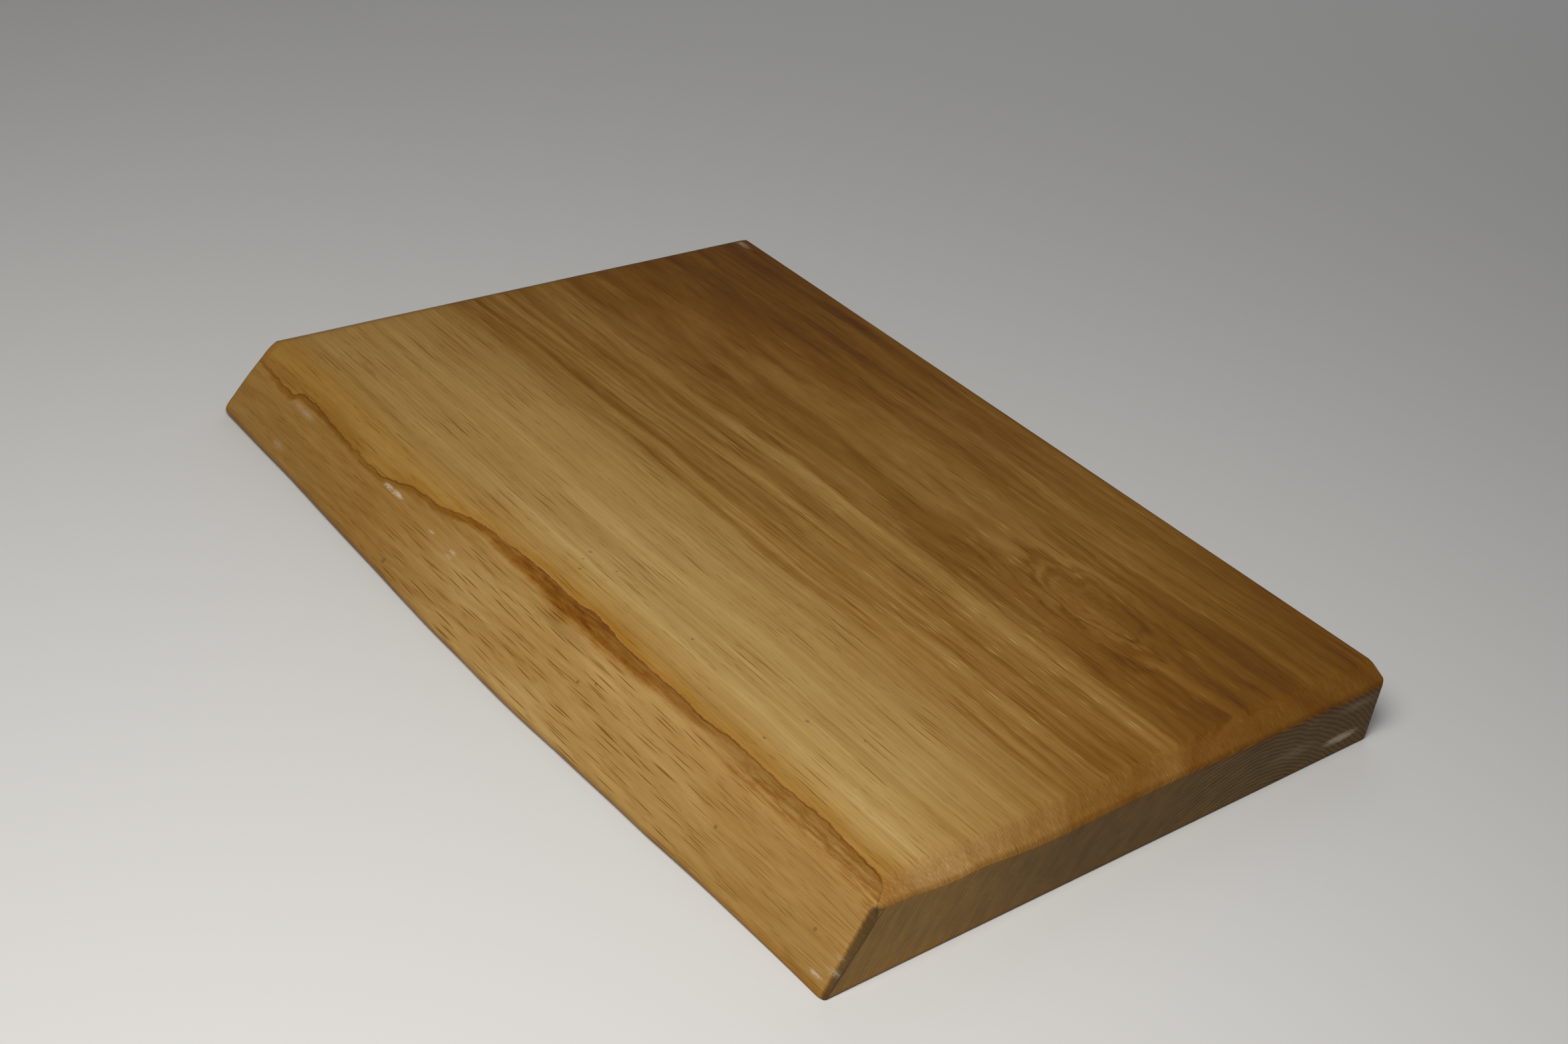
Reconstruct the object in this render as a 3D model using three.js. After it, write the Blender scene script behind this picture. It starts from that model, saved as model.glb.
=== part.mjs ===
// Solid oak threshold board: one short, wide plank with a sloping bevel along one long edge,
// a square back edge and eased ends. Millimetres, +Z up.
//
// Frame: origin at the centre of the underside's bounding rectangle.
//   +X along the grain, towards the end with the wide hand-worked chamfer
//   +Y across the board, from the bevelled edge to the square back edge
//   +Z up, with the underside lying on Z = 0
//
// The board is a loft: one closed cross-section (in Y and Z) is worked out at each station
// along the grain, and neighbouring sections are joined by a skin.

import * as THREE from 'three';
import { mergeVertices } from 'three/addons/utils/BufferGeometryUtils.js';

// ---------------------------------------------------------------- driving dimensions, mm
const LENGTH = 300;            // along the grain
const WIDTH = 210;             // across the grain, from the widest point of the bevel's foot
const THICKNESS = 24;          // planed thickness

const FOOT_REACH = 4.22;       // how far the foot's widest point stands out from the datum line
const BACK_Y = WIDTH - FOOT_REACH;   // square back edge, from the same datum line
const FOOT_LINE = [            // [distance from the far end, where the bevel plane meets the underside]
  [0, -1.9], [24, -2.6], [44, -3.0], [63, -3.9], [81, -4.7], [98, -5.3], [116, -6.1],
  [132, -6.6], [148, -6.6], [163, -6.8], [178, -6.6], [192, -5.9], [206, -5.4], [219, -4.8],
  [232, -4.3], [244, -3.3], [256, -2.4], [268, -1.7], [280, -1.0], [291, -0.5], [300, -0.2],
];
const ARRIS_LINE = [           // [distance from the far end, where the bevel plane meets the top]
  [0, 17.0], [75, 16.6], [150, 15.6], [225, 14.4], [300, 12.8],
];
const ARRIS_ROUND = [          // [distance from the far end, radius over the bevel's top arris]
  [0, 15.0], [100, 11.0], [200, 8.0], [300, 5.0],
];
const FOOT_ROUND = [           // [distance from the far end, radius under the bevel's foot]
  [0, 2.2], [150, 2.0], [250, 1.8], [300, 1.0],
];
const BEVEL_CROWN = 0.35;      // how far the bevel bulges out of its plane at half height

const NEAR_CHAMFER = { run: 7.5, drop: 3.8 };   // wide eased arris, top face to near end
const FAR_CHAMFER = { run: 4.2, drop: 1.9 };    // narrower one at the far end
const NEAR_BEVEL_EASE = 1.6;   // small chamfer between the bevel and the near end face
const FAR_BEVEL_EASE = 1.3;
const END_BOTTOM_EASE = 0.9;   // between each end face and the underside
const END_BACK_EASE = 1.2;     // between each end face and the back edge
const BACK_TOP_ROUND = 1.2;
const BACK_BOTTOM_ROUND = 0.9;

const WOOD = { color: 0xa87a40, roughness: 0.55, metalness: 0.0 };

// Moves the far end and the datum line (the bevel foot's corner at the near end) to where the
// bounding rectangle's centre is the origin.
const SHIFT_X = -LENGTH / 2;
const SHIFT_Y = WIDTH / 2 - BACK_Y;

// ---------------------------------------------------------------- helpers
function curveThrough(table) {
  // smooth curve through [x, value] pairs, read back as value(x)
  const spline = new THREE.SplineCurve(table.map(([x, v]) => new THREE.Vector2(x, v)));
  const points = spline.getPoints(400);
  return (x) => {
    if (x <= points[0].x) return points[0].y;
    for (let i = 1; i < points.length; i++) {
      if (x <= points[i].x) {
        const a = points[i - 1];
        const b = points[i];
        return THREE.MathUtils.lerp(a.y, b.y, (x - a.x) / (b.x - a.x));
      }
    }
    return points[points.length - 1].y;
  };
}

function roundCorner(before, corner, after, radius, segments) {
  // an arc of the given radius in place of a sharp corner
  const u = before.clone().sub(corner).normalize();
  const w = after.clone().sub(corner).normalize();
  const half = Math.acos(THREE.MathUtils.clamp(u.dot(w), -1, 1)) / 2;
  const start = corner.clone().addScaledVector(u, radius / Math.tan(half));
  const centre = corner.clone().addScaledVector(u.clone().add(w).normalize(), radius / Math.sin(half));
  const from = start.clone().sub(centre);
  const end = corner.clone().addScaledVector(w, radius / Math.tan(half)).sub(centre);
  const sweep = Math.atan2(from.x * end.y - from.y * end.x, from.dot(end));
  const points = [];
  for (let i = 0; i <= segments; i++) {
    const a = (sweep * i) / segments;
    points.push(new THREE.Vector2(
      centre.x + from.x * Math.cos(a) - from.y * Math.sin(a),
      centre.y + from.x * Math.sin(a) + from.y * Math.cos(a),
    ));
  }
  return points;
}

const ease = (distance, size) => Math.max(0, size - distance);

// ---------------------------------------------------------------- cross-section
const footY = curveThrough(FOOT_LINE);
const arrisY = curveThrough(ARRIS_LINE);
const arrisRound = curveThrough(ARRIS_ROUND);
const footRound = curveThrough(FOOT_ROUND);

function topDrop(x) {
  const near = LENGTH - x;
  if (near < NEAR_CHAMFER.run) return NEAR_CHAMFER.drop * Math.pow(1 - near / NEAR_CHAMFER.run, 1.2);
  if (x < FAR_CHAMFER.run) return FAR_CHAMFER.drop * Math.pow(1 - x / FAR_CHAMFER.run, 1.2);
  return 0;
}

function section(x) {
  // counter-clockwise seen from +X: underside, back edge, top, bevel
  const near = LENGTH - x;
  const bottom = Math.max(ease(near, END_BOTTOM_EASE), ease(x, END_BOTTOM_EASE));
  const back = BACK_Y - Math.max(ease(near, END_BACK_EASE), ease(x, END_BACK_EASE));
  const inset = Math.max(ease(near, NEAR_BEVEL_EASE), ease(x, FAR_BEVEL_EASE));
  const top = THICKNESS - topDrop(x);

  const foot = new THREE.Vector2(footY(x), 0);
  const arris = new THREE.Vector2(arrisY(x), THICKNESS);
  const slope = arris.clone().sub(foot).normalize();
  const outward = new THREE.Vector2(-slope.y, slope.x);
  const onBevel = (z) => {
    // point of the bevel plane, moved in by the end chamfer, at height z
    const p = foot.clone().addScaledVector(outward, -inset);
    return p.addScaledVector(slope, (z - p.y) / slope.y);
  };

  const cornerFoot = onBevel(bottom);
  const cornerArris = onBevel(top);
  const cornerBackLow = new THREE.Vector2(back, bottom);
  const cornerBackHigh = new THREE.Vector2(back, top);

  const lowBack = roundCorner(cornerFoot, cornerBackLow, cornerBackHigh, BACK_BOTTOM_ROUND, 2);
  const highBack = roundCorner(cornerBackLow, cornerBackHigh, cornerArris, BACK_TOP_ROUND, 3);
  const overArris = roundCorner(cornerBackHigh, cornerArris, cornerFoot, arrisRound(x), 6);
  const underFoot = roundCorner(cornerArris, cornerFoot, cornerBackLow, footRound(x), 5);

  const high = overArris[overArris.length - 1];
  const low = underFoot[0];
  const crown = [1 / 4, 1 / 2, 3 / 4].map((t) => high.clone().lerp(low, t)
    .addScaledVector(outward, BEVEL_CROWN * 4 * t * (1 - t)));
  return [...underFoot, ...lowBack, ...highBack, ...overArris, ...crown];
}

// ---------------------------------------------------------------- loft
function stations() {
  const nearEnd = [0, 0.9, 1.6, 3.2, 5.2, 7.5].map((s) => LENGTH - s);
  const farEnd = [0, 0.9, 1.3, 2.6, 4.2];
  const between = [];
  for (let x = 14; x < 290; x += 15) between.push(x);
  return [...farEnd, ...between, ...nearEnd.reverse()];
}

function loft(xs, makeSection) {
  const rings = xs.map((x) => makeSection(x).map((p) => [x + SHIFT_X, p.x + SHIFT_Y, p.y]));
  const count = rings[0].length;
  const positions = [];
  const indices = [];
  rings.forEach((ring) => ring.forEach((p) => positions.push(...p)));
  for (let i = 0; i + 1 < rings.length; i++) {
    for (let j = 0; j < count; j++) {
      const a = i * count + j;
      const b = i * count + ((j + 1) % count);
      const c = a + count;
      const d = b + count;
      indices.push(a, b, d, a, d, c);
    }
  }
  const cap = (ringIndex, flip) => {
    const outline = makeSection(xs[ringIndex]);
    const base = ringIndex * count;
    THREE.ShapeUtils.triangulateShape(outline, []).forEach(([a, b, c]) => {
      const [p, q, r] = [outline[a], outline[b], outline[c]];
      const turn = (q.x - p.x) * (r.y - p.y) - (q.y - p.y) * (r.x - p.x);
      const outwardX = turn > 0;             // as listed, the triangle faces +X
      if (outwardX !== flip) indices.push(base + a, base + b, base + c);
      else indices.push(base + a, base + c, base + b);
    });
  };
  cap(0, true);
  cap(rings.length - 1, false);
  const geometry = new THREE.BufferGeometry();
  geometry.setAttribute('position', new THREE.Float32BufferAttribute(positions, 3));
  geometry.setIndex(indices);
  const merged = mergeVertices(geometry, 1e-5);
  merged.computeVertexNormals();
  return merged;
}

// ---------------------------------------------------------------- the one solid piece
const board = new THREE.Mesh(
  loft(stations(), section),
  new THREE.MeshStandardMaterial(WOOD),
);
board.name = 'threshold_board';

const part = new THREE.Group();
part.name = 'threshold';
part.add(board);

export default part;
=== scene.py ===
import math
import bpy
import numpy as np
from mathutils import Matrix, Vector


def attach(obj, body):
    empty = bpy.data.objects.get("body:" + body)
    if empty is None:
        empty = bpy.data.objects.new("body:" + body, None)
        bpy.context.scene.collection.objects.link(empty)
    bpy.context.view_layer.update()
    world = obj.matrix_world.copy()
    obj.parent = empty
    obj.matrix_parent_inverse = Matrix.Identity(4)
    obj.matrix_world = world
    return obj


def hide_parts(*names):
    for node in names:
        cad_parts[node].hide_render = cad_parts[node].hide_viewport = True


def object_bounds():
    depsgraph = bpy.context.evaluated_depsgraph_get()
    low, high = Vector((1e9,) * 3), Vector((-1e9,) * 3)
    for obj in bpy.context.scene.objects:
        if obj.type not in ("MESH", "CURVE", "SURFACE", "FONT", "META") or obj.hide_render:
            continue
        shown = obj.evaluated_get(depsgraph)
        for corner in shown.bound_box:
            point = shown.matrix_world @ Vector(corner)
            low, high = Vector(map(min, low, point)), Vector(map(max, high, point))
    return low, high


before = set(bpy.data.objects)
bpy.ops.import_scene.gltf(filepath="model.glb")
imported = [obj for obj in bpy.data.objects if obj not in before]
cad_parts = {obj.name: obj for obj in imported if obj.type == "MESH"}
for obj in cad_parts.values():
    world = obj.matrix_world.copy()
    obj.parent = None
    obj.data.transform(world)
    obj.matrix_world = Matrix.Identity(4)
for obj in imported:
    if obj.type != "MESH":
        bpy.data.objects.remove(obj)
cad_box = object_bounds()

MM = 0.001

# ------------------------------------------------------------------ dimensions, mm
# Station s runs along the grain from the far end (0) to the near end (LENGTH).
# Datum coordinates (s, y, z) become row coordinates by subtracting SHIFT.
LENGTH, WIDTH, THICK = 300.0, 210.0, 24.0
BACK_Y = WIDTH - 4.22
SHIFT = np.array([LENGTH / 2, BACK_Y - WIDTH / 2, 0.0])

FOOT_LINE = [(0, -1.9), (24, -2.6), (44, -3.0), (63, -3.9), (81, -4.7), (98, -5.3), (116, -6.1),
             (132, -6.6), (148, -6.6), (163, -6.8), (178, -6.6), (192, -5.9), (206, -5.4), (219, -4.8),
             (232, -4.3), (244, -3.3), (256, -2.4), (268, -1.7), (280, -1.0), (291, -0.5), (300, -0.2)]
ARRIS_LINE = [(0, 17.0), (75, 16.6), (150, 15.6), (225, 14.4), (300, 12.8)]
ARRIS_ROUND = [(0, 15.0), (100, 11.0), (200, 8.0), (300, 5.0)]
FOOT_ROUND = [(0, 2.2), (150, 2.0), (250, 1.7), (300, 0.35)]
BEVEL_CROWN = 0.3


def smooth_table(table):
    """A smooth curve through (s, value) pairs."""
    t = np.array(table, float)
    slope = np.gradient(t[:, 1], t[:, 0])

    def value(s):
        s = np.clip(np.asarray(s, float), t[0, 0], t[-1, 0])
        i = np.clip(np.searchsorted(t[:, 0], s, side="right") - 1, 0, len(t) - 2)
        h = t[i + 1, 0] - t[i, 0]
        u = (s - t[i, 0]) / h
        return ((2 * u**3 - 3 * u**2 + 1) * t[i, 1] + (u**3 - 2 * u**2 + u) * h * slope[i]
                + (-2 * u**3 + 3 * u**2) * t[i + 1, 1] + (u**3 - u**2) * h * slope[i + 1])
    return value


foot_y, arris_y = smooth_table(FOOT_LINE), smooth_table(ARRIS_LINE)
arris_r, foot_r = smooth_table(ARRIS_ROUND), smooth_table(FOOT_ROUND)


class Wave:
    """Smooth, seeded waviness in two directions: a sum of a few sines with fixed phases."""

    def __init__(self, seed, size_a, size_b, octaves=3):
        rng = np.random.RandomState(seed)
        self.terms = []
        for o in range(octaves):
            for _ in range(5):
                k = 2 ** o
                ang = rng.uniform(0, 2 * math.pi)
                self.terms.append((k * math.cos(ang) * 2 * math.pi / size_a, k * math.sin(ang) * 2 * math.pi / size_b,
                                   rng.uniform(0, 2 * math.pi), 1.0 / (k * 3.0)))

    def __call__(self, a, b):
        out = 0.0
        for ka, kb, ph, amp in self.terms:
            out = out + amp * np.sin(ka * a + kb * b + ph)
        return out


def arc(before, corner, after, radius, n):
    """Points of an arc that rounds off a corner, in order."""
    u = (before - corner) / np.linalg.norm(before - corner)
    w = (after - corner) / np.linalg.norm(after - corner)
    half = math.acos(max(-1, min(1, float(u @ w)))) / 2
    radius = min(radius, 0.45 * math.tan(half) * min(np.linalg.norm(before - corner), np.linalg.norm(after - corner)))
    centre = corner + (u + w) / np.linalg.norm(u + w) * radius / math.sin(half)
    a = corner + u * radius / math.tan(half) - centre
    b = corner + w * radius / math.tan(half) - centre
    sweep = math.atan2(a[0] * b[1] - a[1] * b[0], a @ b)
    t = np.linspace(0, sweep, n)
    return centre + np.stack([a[0] * np.cos(t) - a[1] * np.sin(t), a[0] * np.sin(t) + a[1] * np.cos(t)], 1)


def span(a, b, n):
    """n points between a and b, ends left out."""
    t = (np.arange(n) + 1.0) / (n + 1)
    return a + (b - a) * t[:, None]


near_run = smooth_table([(0, 4.6), (14, 5.6), (25, 7.6), (43, 8.0), (60, 7.2), (100, 7.0), (150, 7.9), (206, 7.4)])
near_drop = smooth_table([(0, 0.7), (14, 0.8), (22, 1.0), (30, 2.0), (38, 2.7), (46, 2.5), (59, 3.8), (71, 4.4), (95, 3.8), (120, 3.8), (152, 4.3), (180, 4.6), (206, 4.2)])
edge_wave = Wave(5, 60, 60, 4)
bevel_wave = Wave(11, 120, 40, 2)
top_wave = Wave(17, 150, 70, 2)
end_wave = Wave(23, 40, 30, 3)


# The dark mineral line wanders along the bevel's top arris, then runs over the near end: s, y, z.
DARK_LINE = [(0, 12.3, 17.8), (4.6, 12.1, 17.6), (13.8, 11.5, 16.9), (24.4, 11.1, 16.6), (27, 12.8, 18.6), (36.5, 12.8, 18.7),
             (47.2, 12.1, 18.1), (60.7, 11.2, 17.6), (72.5, 10.9, 17.6),
             (79, 10.9, 17.8), (83, 11.6, 18.6), (87.2, 12.5, 19.6), (91.3, 13.3, 20.5), (97.8, 13.8, 21.1),
             (104.4, 14.2, 21.6), (109.8, 15.3, 22.4), (114.6, 16.6, 23.2), (118.4, 17.6, 23.5), (122, 18.1, 23.7),
             (125.5, 18.5, 23.8), (129.8, 18.7, 23.9), (141, 19.9, 24), (149.6, 20.2, 24), (158.7, 20.2, 24), (166.6, 19.8, 24),
             (170.7, 21.5, 24), (179.2, 21.0, 24), (185, 20.0, 24), (191.9, 20.0, 24), (199.3, 19.6, 24),
             (210.8, 20.1, 24), (222.9, 19.3, 24), (229, 20.0, 24), (233.6, 20.8, 24), (239, 20.6, 24),
             (245.2, 20.6, 24), (252.7, 20.5, 24), (258.9, 20.9, 24), (265, 21.2, 24), (271.7, 21.5, 24),
             (277, 20.9, 24), (282, 20.6, 24), (287.4, 20.3, 24), (290, 20.2, 24), (293.2, 19.4, 24),
             (295.5, 17.6, 24), (298, 14.4, 24), (300, 11.2, 22.5)]


def unrolled(s, y, z):
    """Distance across the board with the bevel laid flat, so that it runs on smoothly from the top face."""
    beta = np.arctan2(THICK, arris_y(s) - foot_y(s))
    return y - np.tan(beta / 2) * (THICK - z)


_line = np.array(DARK_LINE, float)
_line_t = unrolled(_line[:, 0], _line[:, 1], _line[:, 2])


def across_line(s, y, z):
    """Signed distance from the dark line: negative on the bevel, positive on the top face."""
    return unrolled(s, y, z) - np.interp(s, _line[:, 0], _line_t)


def section(s):
    """The cross-section at station s, counter-clockwise seen from the near end, before the top chamfers."""
    near, far = LENGTH - s, s
    ease = lambda d, size: max(0.0, 1 - d / size) ** 1.5 * size
    bottom = max(ease(near, 0.45), ease(far, 0.9))
    back = BACK_Y - max(ease(near, 1.4), ease(far, 1.2))
    inset = max(ease(near, 2.3), ease(far, 1.5))
    foot, arris = np.array([float(foot_y(s)), 0.0]), np.array([float(arris_y(s)), THICK])
    slope = (arris - foot) / np.linalg.norm(arris - foot)
    out = np.array([-slope[1], slope[0]])

    def on_bevel(z):
        p = foot - out * inset * (0.25 + 0.75 * z / THICK)
        return p + slope * (z - p[1]) / slope[1]

    c_foot, c_arris = on_bevel(bottom), on_bevel(THICK)
    c_low, c_high = np.array([back, bottom]), np.array([back, THICK])
    low = arc(c_foot, c_low, c_high, 0.9, 4)
    high = arc(c_low, c_high, c_arris, 1.1, 5)
    over = arc(c_high, c_arris, c_foot, float(arris_r(s)), 15)
    under = arc(c_arris, c_foot, c_low, float(foot_r(s)), 9)
    t = (np.arange(14) + 1) / 15.0
    face = over[-1] + (under[0] - over[-1]) * t[:, None]
    face = face + out * (BEVEL_CROWN * 4 * t * (1 - t))[:, None]
    parts = [under, span(under[-1], low[0], 44), low, span(low[-1], high[0], 10), high,
             span(high[-1], over[0], 132), over, face]
    return np.concatenate(parts), out


def stations():
    near = [0, 0.12, 0.28, 0.48, 0.72, 1.0, 1.4, 2.0, 2.7, 3.5, 4.3, 5.1, 5.9, 6.7, 7.5, 8.3, 9.2]
    far = [0, 0.25, 0.55, 0.9, 1.3, 1.9, 2.6, 3.3, 4.1, 5.0]
    mid = np.linspace(6.3, LENGTH - 10.3, 214)
    return np.concatenate([far, mid, [LENGTH - d for d in near][::-1]])


def chamfered(z, d, run, drop):
    """Height left at distance d from an end by a soft chamfer with the given run and drop."""
    k = np.clip(1 - d / run, 0, None)
    return z - drop * (k ** 1.18)


def build_board():
    S = stations()
    rings = []
    across = []
    for s in S:
        pts, out = section(s)
        y, z = pts[:, 0].copy(), pts[:, 1].copy()
        across.append(across_line(s, y, z))
        # chamfers over the ends: the same soft plane cuts whatever is above it
        near_cut = THICK - near_drop(np.clip(y, 0, 206)) * (1 + 0.06 * edge_wave(y, 0 * y)) \
            * np.clip(1 - (LENGTH - s) / (near_run(np.clip(y, 0, 206)) * (1 + 0.07 * edge_wave(y, 0 * y + 31))), 0, None) ** 1.18
        near_cut = near_cut + 0.25 * max(0.0, 1 - (LENGTH - s) / 3.0) - 0.62 * max(0.0, 1 - (LENGTH - s) / 1.15) ** 2
        far_cut = THICK - 1.9 * np.clip(1 - s / (4.2 + 0.3 * edge_wave(y, 0 * y + 77)), 0, None) ** 1.15
        cut = np.minimum(near_cut, far_cut)
        z = np.minimum(z, cut + np.clip(cut - z, 0, None) * 0)
        # gentle unevenness from planing and hand sanding
        on_top = np.clip((z - (cut - 0.02)) / 0.02, 0, 1)
        z = z - on_top * np.clip(0.05 + 0.05 * top_wave(s + 0 * y, y), 0, 0.2)
        side = np.clip((z - 3) / 3, 0, 1) * np.clip((21 - z) / 3, 0, 1) * (y < 30)
        w = -0.12 + 0.14 * bevel_wave(s + 0 * y, z * 1.3)
        y, z = y + side * w * out[0], z + side * w * out[1]
        rings.append(np.stack([np.full_like(y, s), y, z], 1))
    rings = np.array(rings)
    # the rings become one mesh with a flat cap at each end, clipped to the model's bounds
    n = rings.shape[1]
    co = rings.reshape(-1, 3)
    co = co - SHIFT
    lo, hi = np.array(cad_box[0]) / MM, np.array(cad_box[1]) / MM
    co = np.clip(co, lo, hi)
    faces = []
    for i in range(len(S) - 1):
        a = i * n + np.arange(n)
        b = i * n + (np.arange(n) + 1) % n
        faces.append(np.stack([a, b, b + n, a + n], 1))
    faces = np.concatenate(faces).tolist()
    faces.append(list(range(n))[::-1])
    faces.append([(len(S) - 1) * n + j for j in range(n)])
    me = bpy.data.meshes.new("oak_board")
    me.from_pydata((co * MM).tolist(), [], faces)
    me.update()
    mark = me.attributes.new("across", "FLOAT", "POINT")
    mark.data.foreach_set("value", np.concatenate(across).astype(np.float32))
    me.shade_smooth()
    me.set_sharp_from_angle(angle=math.radians(38))
    for cap in (me.polygons[len(faces) - 2], me.polygons[len(faces) - 1]):
        for i in cap.loop_indices:
            me.edges[me.loops[i].edge_index].use_edge_sharp = True
    ob = bpy.data.objects.new("oak_board", me)
    bpy.context.scene.collection.objects.link(ob)
    return ob


board = build_board()

# ------------------------------------------------------------------ wood material
# All the figure is solid: it is worked out from the position inside the board, so that the face,
# the bevel and the end grain show one and the same piece of oak.
class Val:
    """A number in the node tree, with arithmetic."""
    nodes = None
    links = None

    def __init__(self, socket):
        self.socket = socket

    def __add__(self, o): return calc("ADD", self, o)
    def __radd__(self, o): return calc("ADD", o, self)
    def __sub__(self, o): return calc("SUBTRACT", self, o)
    def __rsub__(self, o): return calc("SUBTRACT", o, self)
    def __mul__(self, o): return calc("MULTIPLY", self, o)
    def __rmul__(self, o): return calc("MULTIPLY", o, self)
    def __truediv__(self, o): return calc("DIVIDE", self, o)
    def __rtruediv__(self, o): return calc("DIVIDE", o, self)
    def __neg__(self): return calc("MULTIPLY", self, -1.0)
    def __pow__(self, o): return calc("POWER", self, o)


def feed(socket, value):
    if isinstance(value, Val):
        Val.links.new(value.socket, socket)
    else:
        socket.default_value = value


def calc(op, a, b=None, c=None, clamp=False):
    n = Val.nodes.new("ShaderNodeMath")
    n.operation = op
    n.use_clamp = clamp
    for i, v in enumerate((a, b, c)):
        if v is not None:
            feed(n.inputs[i], v)
    return Val(n.outputs[0])


def remap(x, lo, hi, a=0.0, b=1.0, kind="SMOOTHSTEP"):
    n = Val.nodes.new("ShaderNodeMapRange")
    n.interpolation_type = kind
    n.clamp = True
    for i, v in enumerate((x, lo, hi, a, b)):
        feed(n.inputs[i], v)
    return Val(n.outputs[0])


def vec(x, y, z):
    n = Val.nodes.new("ShaderNodeCombineXYZ")
    for i, v in enumerate((x, y, z)):
        feed(n.inputs[i], v)
    return Val(n.outputs[0])


def noise(v, scale=1.0, detail=2.0, rough=0.5, distortion=0.0):
    """Smooth noise centred on 0."""
    n = Val.nodes.new("ShaderNodeTexNoise")
    feed(n.inputs["Vector"], v)
    n.inputs["Scale"].default_value = scale
    n.inputs["Detail"].default_value = detail
    n.inputs["Roughness"].default_value = rough
    n.inputs["Distortion"].default_value = distortion
    return Val(n.outputs[0]) - 0.5


def cells(v, scale=1.0, randomness=1.0, flat=True):
    """Distance to the nearest cell centre, and a random number for each cell."""
    n = Val.nodes.new("ShaderNodeTexVoronoi")
    n.voronoi_dimensions = "2D" if flat else "3D"
    feed(n.inputs["Vector"], v)
    n.inputs["Scale"].default_value = scale
    n.inputs["Randomness"].default_value = randomness
    s = Val.nodes.new("ShaderNodeSeparateXYZ")
    Val.links.new(n.outputs["Color"], s.inputs[0])
    return Val(n.outputs["Distance"]), Val(s.outputs[0])


def curve(x, lo, hi, stops):
    """A number read from a table of (x, value) stops."""
    n = Val.nodes.new("ShaderNodeValToRGB")
    feed(n.inputs[0], remap(x, lo, hi, kind="LINEAR"))
    ramp = n.color_ramp
    ramp.interpolation = "EASE"
    for i, (p, v) in enumerate(stops):
        p = (p - lo) / (hi - lo)
        e = ramp.elements[i] if i < 2 else ramp.elements.new(p)
        e.position = p
        e.color = (v, v, v, 1)
    s = Val.nodes.new("ShaderNodeSeparateXYZ")
    Val.links.new(n.outputs[0], s.inputs[0])
    return Val(s.outputs[0])


def blend(fac, a, b):
    n = Val.nodes.new("ShaderNodeMix")
    n.data_type = "RGBA"
    feed(n.inputs[0], fac)
    feed(n.inputs[6], a)
    feed(n.inputs[7], b)
    return Val(n.outputs[2])


def spot(pos, centre, stretch, inner, outer):
    """1 inside a small ellipsoid round a point, fading to 0; pos is already divided by stretch."""
    n = Val.nodes.new("ShaderNodeVectorMath")
    n.operation = "DISTANCE"
    feed(n.inputs[0], pos)
    n.inputs[1].default_value = [c / k for c, k in zip(centre, stretch)]
    return remap(Val(n.outputs["Value"]), inner, outer, 1.0, 0.0)


def most(values):
    out = values[0]
    for v in values[1:]:
        out = calc("MAXIMUM", out, v)
    return out


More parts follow.
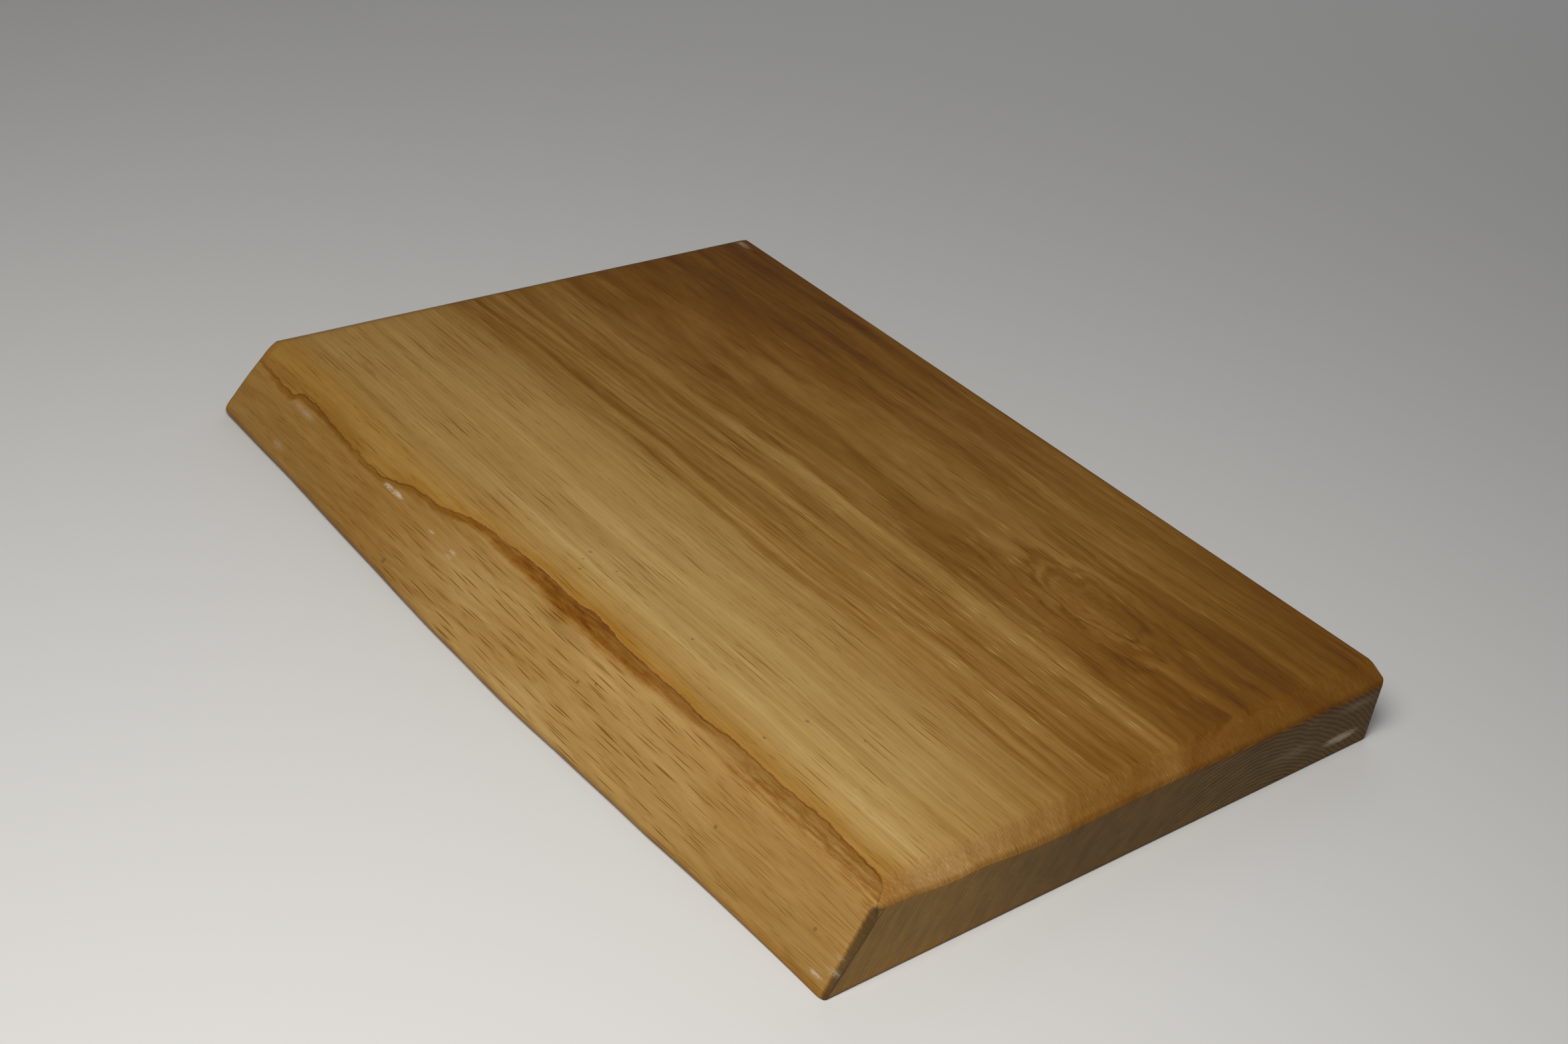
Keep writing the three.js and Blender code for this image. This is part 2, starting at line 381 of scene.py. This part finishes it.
def oak_material():
    m = bpy.data.materials.new("oiled_oak")
    m.use_nodes = True
    Val.nodes, Val.links = m.node_tree.nodes, m.node_tree.links
    shader = Val.nodes["Principled BSDF"]

    tc = Val.nodes.new("ShaderNodeTexCoord")
    split = Val.nodes.new("ShaderNodeSeparateXYZ")
    Val.links.new(tc.outputs["Object"], split.inputs[0])
    s = Val(split.outputs[0]) * 1000.0 + float(SHIFT[0])
    y = Val(split.outputs[1]) * 1000.0 + float(SHIFT[1])
    z = Val(split.outputs[2]) * 1000.0
    nsplit = Val.nodes.new("ShaderNodeSeparateXYZ")
    Val.links.new(tc.outputs["Normal"], nsplit.inputs[0])
    nx = calc("ABSOLUTE", Val(nsplit.outputs[0]))
    at = Val.nodes.new("ShaderNodeAttribute")
    at.attribute_name = "across"
    across = Val(at.outputs["Fac"])

    # growth rings: arcs round a pith line that lies under the board
    slow = noise(vec(s / 95.0, y / 30.0, z / 30.0), detail=2.0)
    quick = noise(vec(s / 21.0, y / 6.0, z / 6.0), detail=3.0)
    knot = calc("EXPONENT", -(((s - 236.0) / 24.0) ** 2.0 + ((y - 150.0) / 12.0) ** 2.0))
    dy, dz = y - 152.0, z + 47.0
    r = calc("SQRT", dy * dy + dz * dz) + slow * 5.0 + quick * 1.3 + knot * (quick * 8.5 - 4.8)
    a = calc("ARCTAN2", dy, dz) * 100.0

    tone = curve(r, 60.0, 170.0, [
        (64, .24), (70.5, .258), (72.5, .232), (74.2, .25), (76.3, .280), (79, .288), (82, .28), (84.5, .252),
        (87.5, .286), (91, .284), (95, .266), (98.8, .27), (100.6, .318), (104, .33), (108, .342), (112.5, .35),
        (117, .366), (121.5, .385), (126.5, .365), (131, .378), (136, .396), (141, .394), (146, .352), (150, .352),
        (156, .34), (166, .33)])
    # darker towards the back edge, the far end and the near back corner: partly the wood's own tone, partly painted
    # shade where the light falls off across the board
    tone = tone * remap(y, 118.0, 205.0, 1.0, 0.73, "LINEAR") * remap(s, 150.0, 0.0, 1.0, 0.87, "LINEAR") \
        * remap(s + y * 0.4, 290.0, 352.0, 1.0, 0.75, "LINEAR") * remap(y - s * 0.6, 95.0, 165.0, 1.0, 0.74, "LINEAR")

    # stripes, fibre and rings
    broad = noise(vec(s / 210.0, r / 4.2, a / 45.0), detail=3.0, rough=0.58)
    fine = noise(vec(s / 60.0, r / 1.5, a / 14.0), detail=3.0, rough=0.68)
    fibre = noise(vec(s / 12.0, y / 0.5, z / 0.5), detail=2.0, rough=0.6)
    phase = calc("FRACT", r / 1.42 + fine * 0.35)
    early = remap(phase, 0.0, 0.16) * remap(phase, 0.3, 0.75, 1.0, 0.0)

    end = remap(nx, 0.74, 0.9)
    face = 1.0 - end
    ray_a = calc("ARCTAN2", dy, dz) * 150.0
    streaky = noise(vec(s / 26.0, ray_a / 1.2, 3.0), detail=3.0, rough=0.66)
    bevel = remap(across, -1.0, 1.0, 1.0, 0.0) * face
    core = remap(r, 104.0, 97.0) * (1.0 - bevel)
    crown = calc("EXPONENT", -(((y - 150.0) / 20.0) ** 2.0)) * remap(s, 120.0, 200.0)
    shade = 1.0 + broad * (0.54 + core * 0.42) + fine * (0.42 + core * 0.62) + fibre * 0.18 \
        - early * (0.04 + crown * 0.12) + quick * 0.20 + streaky * bevel * 0.42 + 0.03

    # vessels: dots on the end grain, short dashes along the grain elsewhere
    d1, k1 = cells(vec(s / 7.0, y / 0.46, z / 0.46), flat=False)
    pores = remap(d1, 0.16, 0.34, 1.0, 0.0) * remap(k1 + early * 0.6, 0.78, 1.15)
    girth = y + z * 0.71
    d2, k2 = cells(vec(s / 46.0 + 7.3, (girth + quick * 1.6 + slow * 5.0) / 1.35, 0.0))
    dashes = remap(d2, 0.06, 0.20, 1.0, 0.0) * remap(k2, 0.25, 0.9)
    d3, k3 = cells(vec(s / 15.0 + 3.1, (girth + slow * 5.0) / 0.95 + 5.0, 0.0))
    flecks = remap(d3, 0.05, 0.24, 1.0, 0.0) * remap(k3, 0.60, 0.95)
    fleck_area = remap(s, 175.0, 215.0) * remap(y, 80.0, 98.0) * remap(y, 128.0, 142.0, 1.0, 0.0)

    # rays show as dark dashes where the bevel cuts the rings nearly flat
    d4, k4 = cells(vec(s / 30.0, ray_a / 0.86 + calc("SINE", s / 6.5 + ray_a) * 0.16 + calc("SINE", s / 17.0 - ray_a * 0.6) * 0.30, 0.0), randomness=0.95)
    rays = remap(d4, 0.05, 0.23, 1.0, 0.0) * remap(k4, -0.5, 0.4)
    ray_area = bevel * remap(s, 70.0, 135.0, 0.25, 1.0) * remap(s, 225.0, 262.0, 1.0, 0.45) \
        * remap(across + fine * 4.0, -7.5, -3.5, 1.0, 0.15)

    line_wave = noise(vec(s / 3.2, y / 5.0, z / 5.0), detail=3.0, rough=0.65)
    off = across + line_wave * 1.9
    line = remap(calc("ABSOLUTE", off), 0.1, 0.55, 1.0, 0.0) \
        * curve(s, 0.0, 300.0, [(0, .25), (20, .75), (40, .7), (62, .6), (85, .8), (112, .6), (132, .25), (175, .2), (205, .5),
                                (222, .95), (250, .7), (275, .9), (300, 1.0)])
    # reddish mineral streak on the bevel side of the line, and the amber glow on its top side
    streak_w = curve(s, 0.0, 300.0, [(0, .12), (25, .26), (60, .22), (95, .22), (118, .32), (150, .74), (168, 1.0), (190, .80),
                                     (215, .50), (240, .26), (262, .26), (300, .16)]) * 10.0
    inside = remap(off, -0.15, 0.15, 1.0, 0.0)
    streak = inside * remap(off / streak_w + fine * 0.9 + quick * 0.4, -1.0, -0.45)
    streak_k = curve(s, 0.0, 300.0, [(0, .35), (30, .55), (70, .35), (98, .4), (118, .75), (150, .92), (172, 1.0), (195, .8),
                                     (218, .55), (245, .32), (300, .35)])
    blotch = noise(vec(s / 7.0, girth / 1.3, 0.0), detail=3.0, rough=0.65)
    near_red = remap(s, 226.0, 252.0) * remap(off + blotch * 9.0, -9.0, -4.5) * inside * remap(blotch, -0.12, 0.10) * 0.5
    streak = calc("MAXIMUM", streak * streak_k * (1.0 + blotch * 1.6), near_red) * face
    glow_n = noise(vec(s / 16.0, y / 2.2, z / 2.2), detail=2.0, rough=0.6)
    glow = remap(off, 0.0, 0.5) * remap(off + glow_n * 6.0, 1.2, 4.4, 1.0, 0.0) \
        * curve(s, 0.0, 300.0, [(0, .2), (60, .35), (120, .55), (150, .9), (200, 1.0), (225, .6), (262, .45), (300, .3)]) * face
    gold = remap(off, 0.0, 1.0) * remap(off + glow_n * 9.0 + s * 0.028, 9.0, 22.0, 1.0, 0.0) * face

    # the bevel itself: pale sapwood in the middle, warmer towards the far end and near the line
    warm_far = remap(s + slow * 60.0, 135.0, 85.0)
    bevel_tone = 0.372 - warm_far * 0.08 - remap(s, 185.0, 270.0) * 0.062
    tone = tone + bevel * (bevel_tone - tone)
    dark_patch = spot(vec(s / 17.0, y / 2.6, z / 2.6), (170.0, 12.6, 20.6), (17.0, 2.6, 2.6), 0.2, 1.25)

    shade = shade * (1.0 - pores * 0.16 * face) * (1.0 - dashes * 0.36 * face * (1.0 - bevel * 0.7)) \
        * (1.0 - rays * 0.46 * ray_area * (1.0 + streaky * 1.6)) * (1.0 + flecks * 0.32 * face * (0.26 + core * 0.55 + fleck_area + crown * 0.7)) \
        * (1.0 - streak * 0.54) * (1.0 - glow * 0.07) * (1.0 - line * 0.45 * face) * (1.0 - dark_patch * bevel * 0.22)
    foot_strip = bevel * remap(z + blotch * 3.0, 1.2, 3.6, 1.0, 0.0)
    shade = shade * (1.0 - foot_strip * 0.16)

    # single marks on the top face: thin dark lines and clouded places
    wob = quick * 3.0
    mark1 = remap(calc("ABSOLUTE", y + wob - (96.5 + s * 0.045)), 0.15, 0.75, 1.0, 0.0) * remap(s, 30.0, 60.0) * remap(s, 165.0, 215.0, 1.0, 0.0)
    mark2 = remap(calc("ABSOLUTE", y + wob * 1.3 - (162.5 + s * 0.06)), 0.2, 1.0, 1.0, 0.0) * remap(s, 110.0, 150.0) * remap(s, 255.0, 285.0, 1.0, 0.0)
    mark3 = remap(calc("ABSOLUTE", y + wob - (122.0 + s * 0.012)), 0.5, 2.6, 1.0, 0.0)
    cloud = spot(vec(s / 20.0, y / 5.0, z / 40.0), (68.0, 177.0, 24.0), (20.0, 5.0, 40.0), 0.1, 1.3)
    top = remap(z, 19.0, 21.0) * face
    shade = shade * (1.0 - top * (mark1 * 0.20 + mark3 * 0.13 + cloud * 0.16 - mark2 * 0.16))

    # hand-worked chamfer over the near end: rougher, pinker, brushed across
    fuzz = noise(vec(s / 2.0, y / 0.5, z / 2.0), detail=3.0, rough=0.7)
    strokes = noise(vec((s + z) / 1.3 + y * 0.16, y / 0.36, 0.0), detail=2.0, rough=0.7)
    edge_n = noise(vec(0.0, y / 24.0, 0.0), detail=1.0)
    band = remap(s + fuzz * 6.5 + edge_n * 3.0, 290.6, 295.4) * face * (1.0 - bevel)
    far_band = remap(s + fuzz * 1.5, 4.4, 2.6) * face * (1.0 - bevel)
    # glint: painted highlight specks that lighten the worked band
    glint = remap(strokes + fuzz * 0.7, 0.17, 0.32)
    edge_d = ((y + 0.2) * 24.0 - z * 13.0) / 27.3
    rim_w = 0.9 + z * 0.062
    # side: the small corner chamfer between the bevel and the near end, darkened below as painted shade
    side = remap(s + fuzz * 0.9 + rim_w * 0.6, 298.9, 300.0) * face * remap(edge_d, rim_w * 1.5, rim_w * 1.2) * remap(z + fuzz * 0.8, 23.4, 22.3)
    worked = calc("MAXIMUM", band * (1.0 - side), far_band * 0.7)
    # over its last 1.7 mm the band is darker: partly end grain, partly painted shade where the edge rolls away from the
    # light
    shade = shade + worked * (0.90 + remap(y, 30.0, 90.0) * 0.07 + remap(y, 100.0, 150.0) * 0.10 - remap(s, 298.3, 300.0) * 0.20 + strokes * 0.75 + fuzz * 0.45 + broad * 0.45 + quick * 0.25 + glint * 0.40 - shade)

    # the small chamfer between the bevel and the near end gets painted shade, and so does the end face beside it, with
    # a thin dark line inside it
    shade = shade * (1.0 - side * 0.70)
    at_end = remap(s, 297.0, 298.0)
    # rim: painted shade on the end face beside that chamfer; rim_line: a thin dark line at its edge
    rim = end * remap(edge_d / rim_w + fuzz * 0.3, 1.12, 0.92) * at_end
    rim_line = end * remap(calc("ABSOLUTE", edge_d - rim_w * 1.05 + fuzz * 1.1), 0.1, 0.5, 1.0, 0.0) * at_end

    # end grain
    ring_line = remap(phase, 0.0, 0.2) * remap(phase, 0.32, 0.85, 1.0, 0.0)
    ray_t = calc("ARCTAN2", dy, dz) * 100.0
    ray_end = remap(noise(vec(s / 40.0, ray_t / 0.38 + quick * 1.5, r / 14.0), detail=2.0), 0.10, 0.26)
    scratch = noise(vec(s / 3.0, (y + z * 0.9) / 13.0, (z - y * 0.9) / 0.62), detail=2.0, rough=0.6)
    rows = noise(vec(s / 50.0, r / 2.4, a / 9.0), detail=3.0, rough=0.6)
    end_shade = 1.02 + (0.5 - ring_line) * (0.10 + remap(y, 90.0, 150.0) * 0.42) + ray_end * 0.14 + broad * 0.4 + rows * 0.75 + scratch * 0.42 \
        - pores * 0.07 + quick * 0.3 + slow * 0.3
    # darker beside the corner chamfer (painted shade), along the thin dark line, and over the lowest 1.5 mm, which is
    # painted shade along the floor contact
    end_shade = end_shade * (1.0 - rim * 0.40) * (1.0 - rim_line * 0.5) * remap(z + fuzz * 0.8, 0.0, 1.5, 0.62, 1.0)
    low = remap(z + blotch * 2.0, 1.5, 5.0, 1.0, 0.0)
    drop = curve(y, 0.0, 206.0, [(0, .07), (22, .09), (30, .18), (38, .25), (46, .25), (59, .36), (71, .42), (95, .37),
                                 (120, .37), (152, .42), (180, .45), (206, .41)]) * 10.0
    lip = at_end * remap(z + drop + fuzz * 2.2, 21.2, 23.9) * 0.62
    # end grain darker towards the back: partly its own tone, partly painted shade where the light falls off
    end_tone = 0.222 * remap(y, 30.0, 90.0, 1.0, 0.61) * remap(y, 110.0, 190.0, 1.0, 0.72, "LINEAR") * (1.0 + low * 0.12)
    shade = shade + end * (end_shade - shade)
    tone = tone + end * (end_tone + lip * (tone * 0.72 - end_tone) - tone)
    dull = calc("MAXIMUM", end * (1.0 - lip), side)

    value = calc("MAXIMUM", tone * shade, 0.012)
    # darker wood is also more saturated
    warmth = streak * 0.9 + glow * 1.5 + worked * 0.35 + bevel * warm_far * 0.35 + gold * 0.75 + foot_strip * 0.8 \
        - dark_patch * bevel * 0.9 + slow * 0.7 + broad * 0.6 \
        + remap(r, 101.0, 98.0) * 0.18 * face
    red = value * (1.0 + streak * 0.07)
    green = (value ** 1.50) * 1.0 * (1.0 - warmth * 0.085 )
    blue = calc("MAXIMUM", (value ** 2.35) * 0.74 * (1.0 - warmth * 0.26 + worked * 0.22 + bevel * 0.09) - 0.007, 0.003)
    green = green + dull * (value * (0.555 - low * 0.05) - green)
    blue = blue + dull * (value * (0.135 - low * 0.03) - blue)
    join = Val.nodes.new("ShaderNodeCombineColor")
    for i, c in enumerate((red, green, blue)):
        feed(join.inputs[i], c)
    colour = Val(join.outputs[0])

    # chalky rubs and small dark specks
    grit = noise(vec(s / 0.9, y / 0.5, z / 0.5), detail=3.0, rough=0.7)
    k = (3.4, 0.9, 0.9)
    pos = vec(s / k[0] + grit * 0.9, y / k[1] + grit * 2.2, z / k[2] + grit * 1.8)
    chalk = most([
        spot(pos, (83.6, 10.3, 17.3), k, 0.2, 1.0), spot(pos, (88.4, 10.3, 17.3), k, 0.3, 1.1),
        spot(pos, (109.0, 9.4, 16.6), k, -0.1, 0.6), spot(pos, (120.5, 9.2, 16.5), k, -0.1, 0.8) * 0.8,
        spot(pos, (120.3, 8.0, 15.3), k, -0.1, 0.7) * 0.6,
        spot(pos, (35.0, 10.3, 15.7), k, -0.4, 1.9) * 0.42, spot(pos, (30.0, 10.5, 15.9), k, -0.4, 1.6) * 0.35,
        spot(pos, (32.5, 2.0, 5.9), k, -0.5, 1.7) * 0.42, spot(pos, (294.6, 1.6, 3.9), k, 0.0, 0.9) * 0.9,
        spot(pos, (299.3, 3.6, 6.8), k, -0.2, 1.4) * 0.5, spot(pos, (299.3, 5.0, 10.2), k, -0.2, 1.2) * 0.4,
        spot(pos, (5.0, 201.5, 24.0), k, 0.0, 2.2) * 0.55])
    ke = (3.0, 8.5, 1.9)
    pos_e = vec(s / ke[0], y / ke[1] + grit * 0.3, z / ke[2] + grit * 0.5 + broad * 0.6)
    rub = noise(vec(0.0, y / 8.0, z / 0.38 + quick), detail=2.0)
    smear = most([spot(pos_e, (300.0, 191.0, 5.9), ke, 0.25, 1.15),
                  spot(pos_e, (300.0, 169.0, 8.8), ke, -0.3, 1.9) * 0.20,
                  spot(pos_e, (300.0, 195.0, 16.0), ke, -0.2, 1.4) * 0.30]) * end
    chalk = calc("MAXIMUM", chalk * remap(grit, -0.16, 0.02, 0.35, 1.0), smear * remap(rub, -0.16, 0.08, 0.2, 1.0))
    colour = blend(chalk * 0.82, colour, (0.56, 0.47, 0.34, 1.0))
    ks = (1.0, 1.0, 1.0)
    pos_s = vec(s + grit * 1.3, y + grit * 1.2, z)
    specks = most([spot(pos_s, c, ks, 0.15, rad) for c, rad in [
        ((146.8, 37.2, 24), .75), ((148.7, 33.4, 24), .6), ((152.4, 29.8, 24), .7), ((158.2, 38.3, 24), .6),
        ((237.0, 42.6, 24), .85), ((237.0, 28.5, 24), .8), ((250.7, 50.6, 24), .5), ((194.0, 37.7, 24), .7),
        ((248.4, 5.8, 12.6), .9), ((288.2, 5.5, 11.0), .9), ((186.0, 7.0, 15.4), .8), ((191.4, 8.9, 17.4), .6),
        ((100.5, -0.9, 4.8), 1.3), ((299.2, 16.0, 20.9), .7), ((299.6, 18.5, 20.3), .6), ((299.4, 13.4, 20.5), .6)]])
    colour = blend(specks * 0.5, colour, (0.055, 0.036, 0.018, 1.0))
    feed(shader.inputs["Base Color"], colour)

    # satin oil finish, duller in the pores, on worked edges and on the end grain
    rough = 0.50 + fibre * 0.16 + pores * 0.10 + rays * ray_area * 0.10 + worked * 0.16 + end * 0.14 + chalk * 0.2 \
        - streak * 0.04 + broad * 0.08
    feed(shader.inputs["Roughness"], calc("MINIMUM", rough, 0.85))
    shader.inputs["Specular IOR Level"].default_value = 0.2
    on_band = remap(s, 291.0, 295.0) * remap(across, -1.0, 1.0)
    height = (fibre * 0.5 - pores * 0.8) * (1.0 - end * 0.75) - rays * 0.6 * bevel + on_band * strokes * 2.2 - remap(calc("ABSOLUTE", across), 0.2, 0.6, 1.0, 0.0) * 0.4
    bump = Val.nodes.new("ShaderNodeBump")
    bump.inputs["Strength"].default_value = 0.55
    bump.inputs["Distance"].default_value = 0.00012
    feed(bump.inputs["Height"], height)
    Val.links.new(bump.outputs[0], shader.inputs["Normal"])
    return m


board.data.materials.append(oak_material())

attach(board, "root")
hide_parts("threshold_board")

# ------------------------------------------------------------------ floor
floor_me = bpy.data.meshes.new("floor")
F = 6.0
floor_me.from_pydata([(-F, -F, 0), (F, -F, 0), (F, F, 0), (-F, F, 0)], [], [(0, 1, 2, 3)])
floor = bpy.data.objects.new("floor", floor_me)
bpy.context.scene.collection.objects.link(floor)
floor.location.z = -0.00005
fm = bpy.data.materials.new("pale_floor")
fm.use_nodes = True
fb = fm.node_tree.nodes["Principled BSDF"]
fb.inputs["Base Color"].default_value = (0.62, 0.62, 0.61, 1)
fb.inputs["Roughness"].default_value = 0.9
fb.inputs["Specular IOR Level"].default_value = 0.1
floor.data.materials.append(fm)

# ------------------------------------------------------------------ light
def area(name, where, size, power, colour=(1, 1, 1), at=(0, 0, 0.0)):
    data = bpy.data.lights.new(name, "AREA")
    data.shape = "DISK"
    data.size = size
    data.energy = power
    data.color = colour
    ob = bpy.data.objects.new(name, data)
    bpy.context.scene.collection.objects.link(ob)
    ob.location = where
    ob.rotation_euler = (Vector(at) - Vector(where)).to_track_quat("-Z", "Y").to_euler()
    return ob


area("key", (0.25, -0.35, 0.55), 0.36, 4.26, (1.0, 0.97, 0.93), at=(0.03, -0.03, 0.0))

area("fill", (-0.62, 0.80, 0.62), 1.0, 1.7, (0.97, 0.98, 1.0), at=(0.0, 0.05, 0.0)).visible_glossy = False

world = bpy.data.worlds.new("studio")
bpy.context.scene.world = world
world.use_nodes = True
world.node_tree.nodes["Background"].inputs[0].default_value = (0.95, 0.97, 1.0, 1)
world.node_tree.nodes["Background"].inputs[1].default_value = 0.112

# ------------------------------------------------------------------ camera
# The photograph's viewpoint, worked out from the board's edge lines.
CAM_AT = Vector((0.409538, -0.386886, 0.368289))
CAM_ROT = Matrix(((0, 0, 0), (0, 0, 0), (0, 0, 0)))
rv = Vector((1.903112, 1.001797, -0.378450))
R = Matrix.Rotation(rv.length, 3, rv.normalized())
CAM_ROT = R.transposed() @ Matrix.Diagonal((1, -1, -1))
cam_data = bpy.data.cameras.new("photo_view")
cam_data.sensor_fit = "HORIZONTAL"
cam_data.sensor_width = 36.0
cam_data.lens = 3354.6426 / 2356 * 36.0
cam_data.clip_start = 0.01
cam = bpy.data.objects.new("photo_view", cam_data)
bpy.context.scene.collection.objects.link(cam)
cam.matrix_world = Matrix.Translation(CAM_AT) @ CAM_ROT.to_4x4()
bpy.context.scene.camera = cam

bpy.context.scene.view_settings.view_transform = "Standard"
bpy.context.scene.view_settings.look = "None"
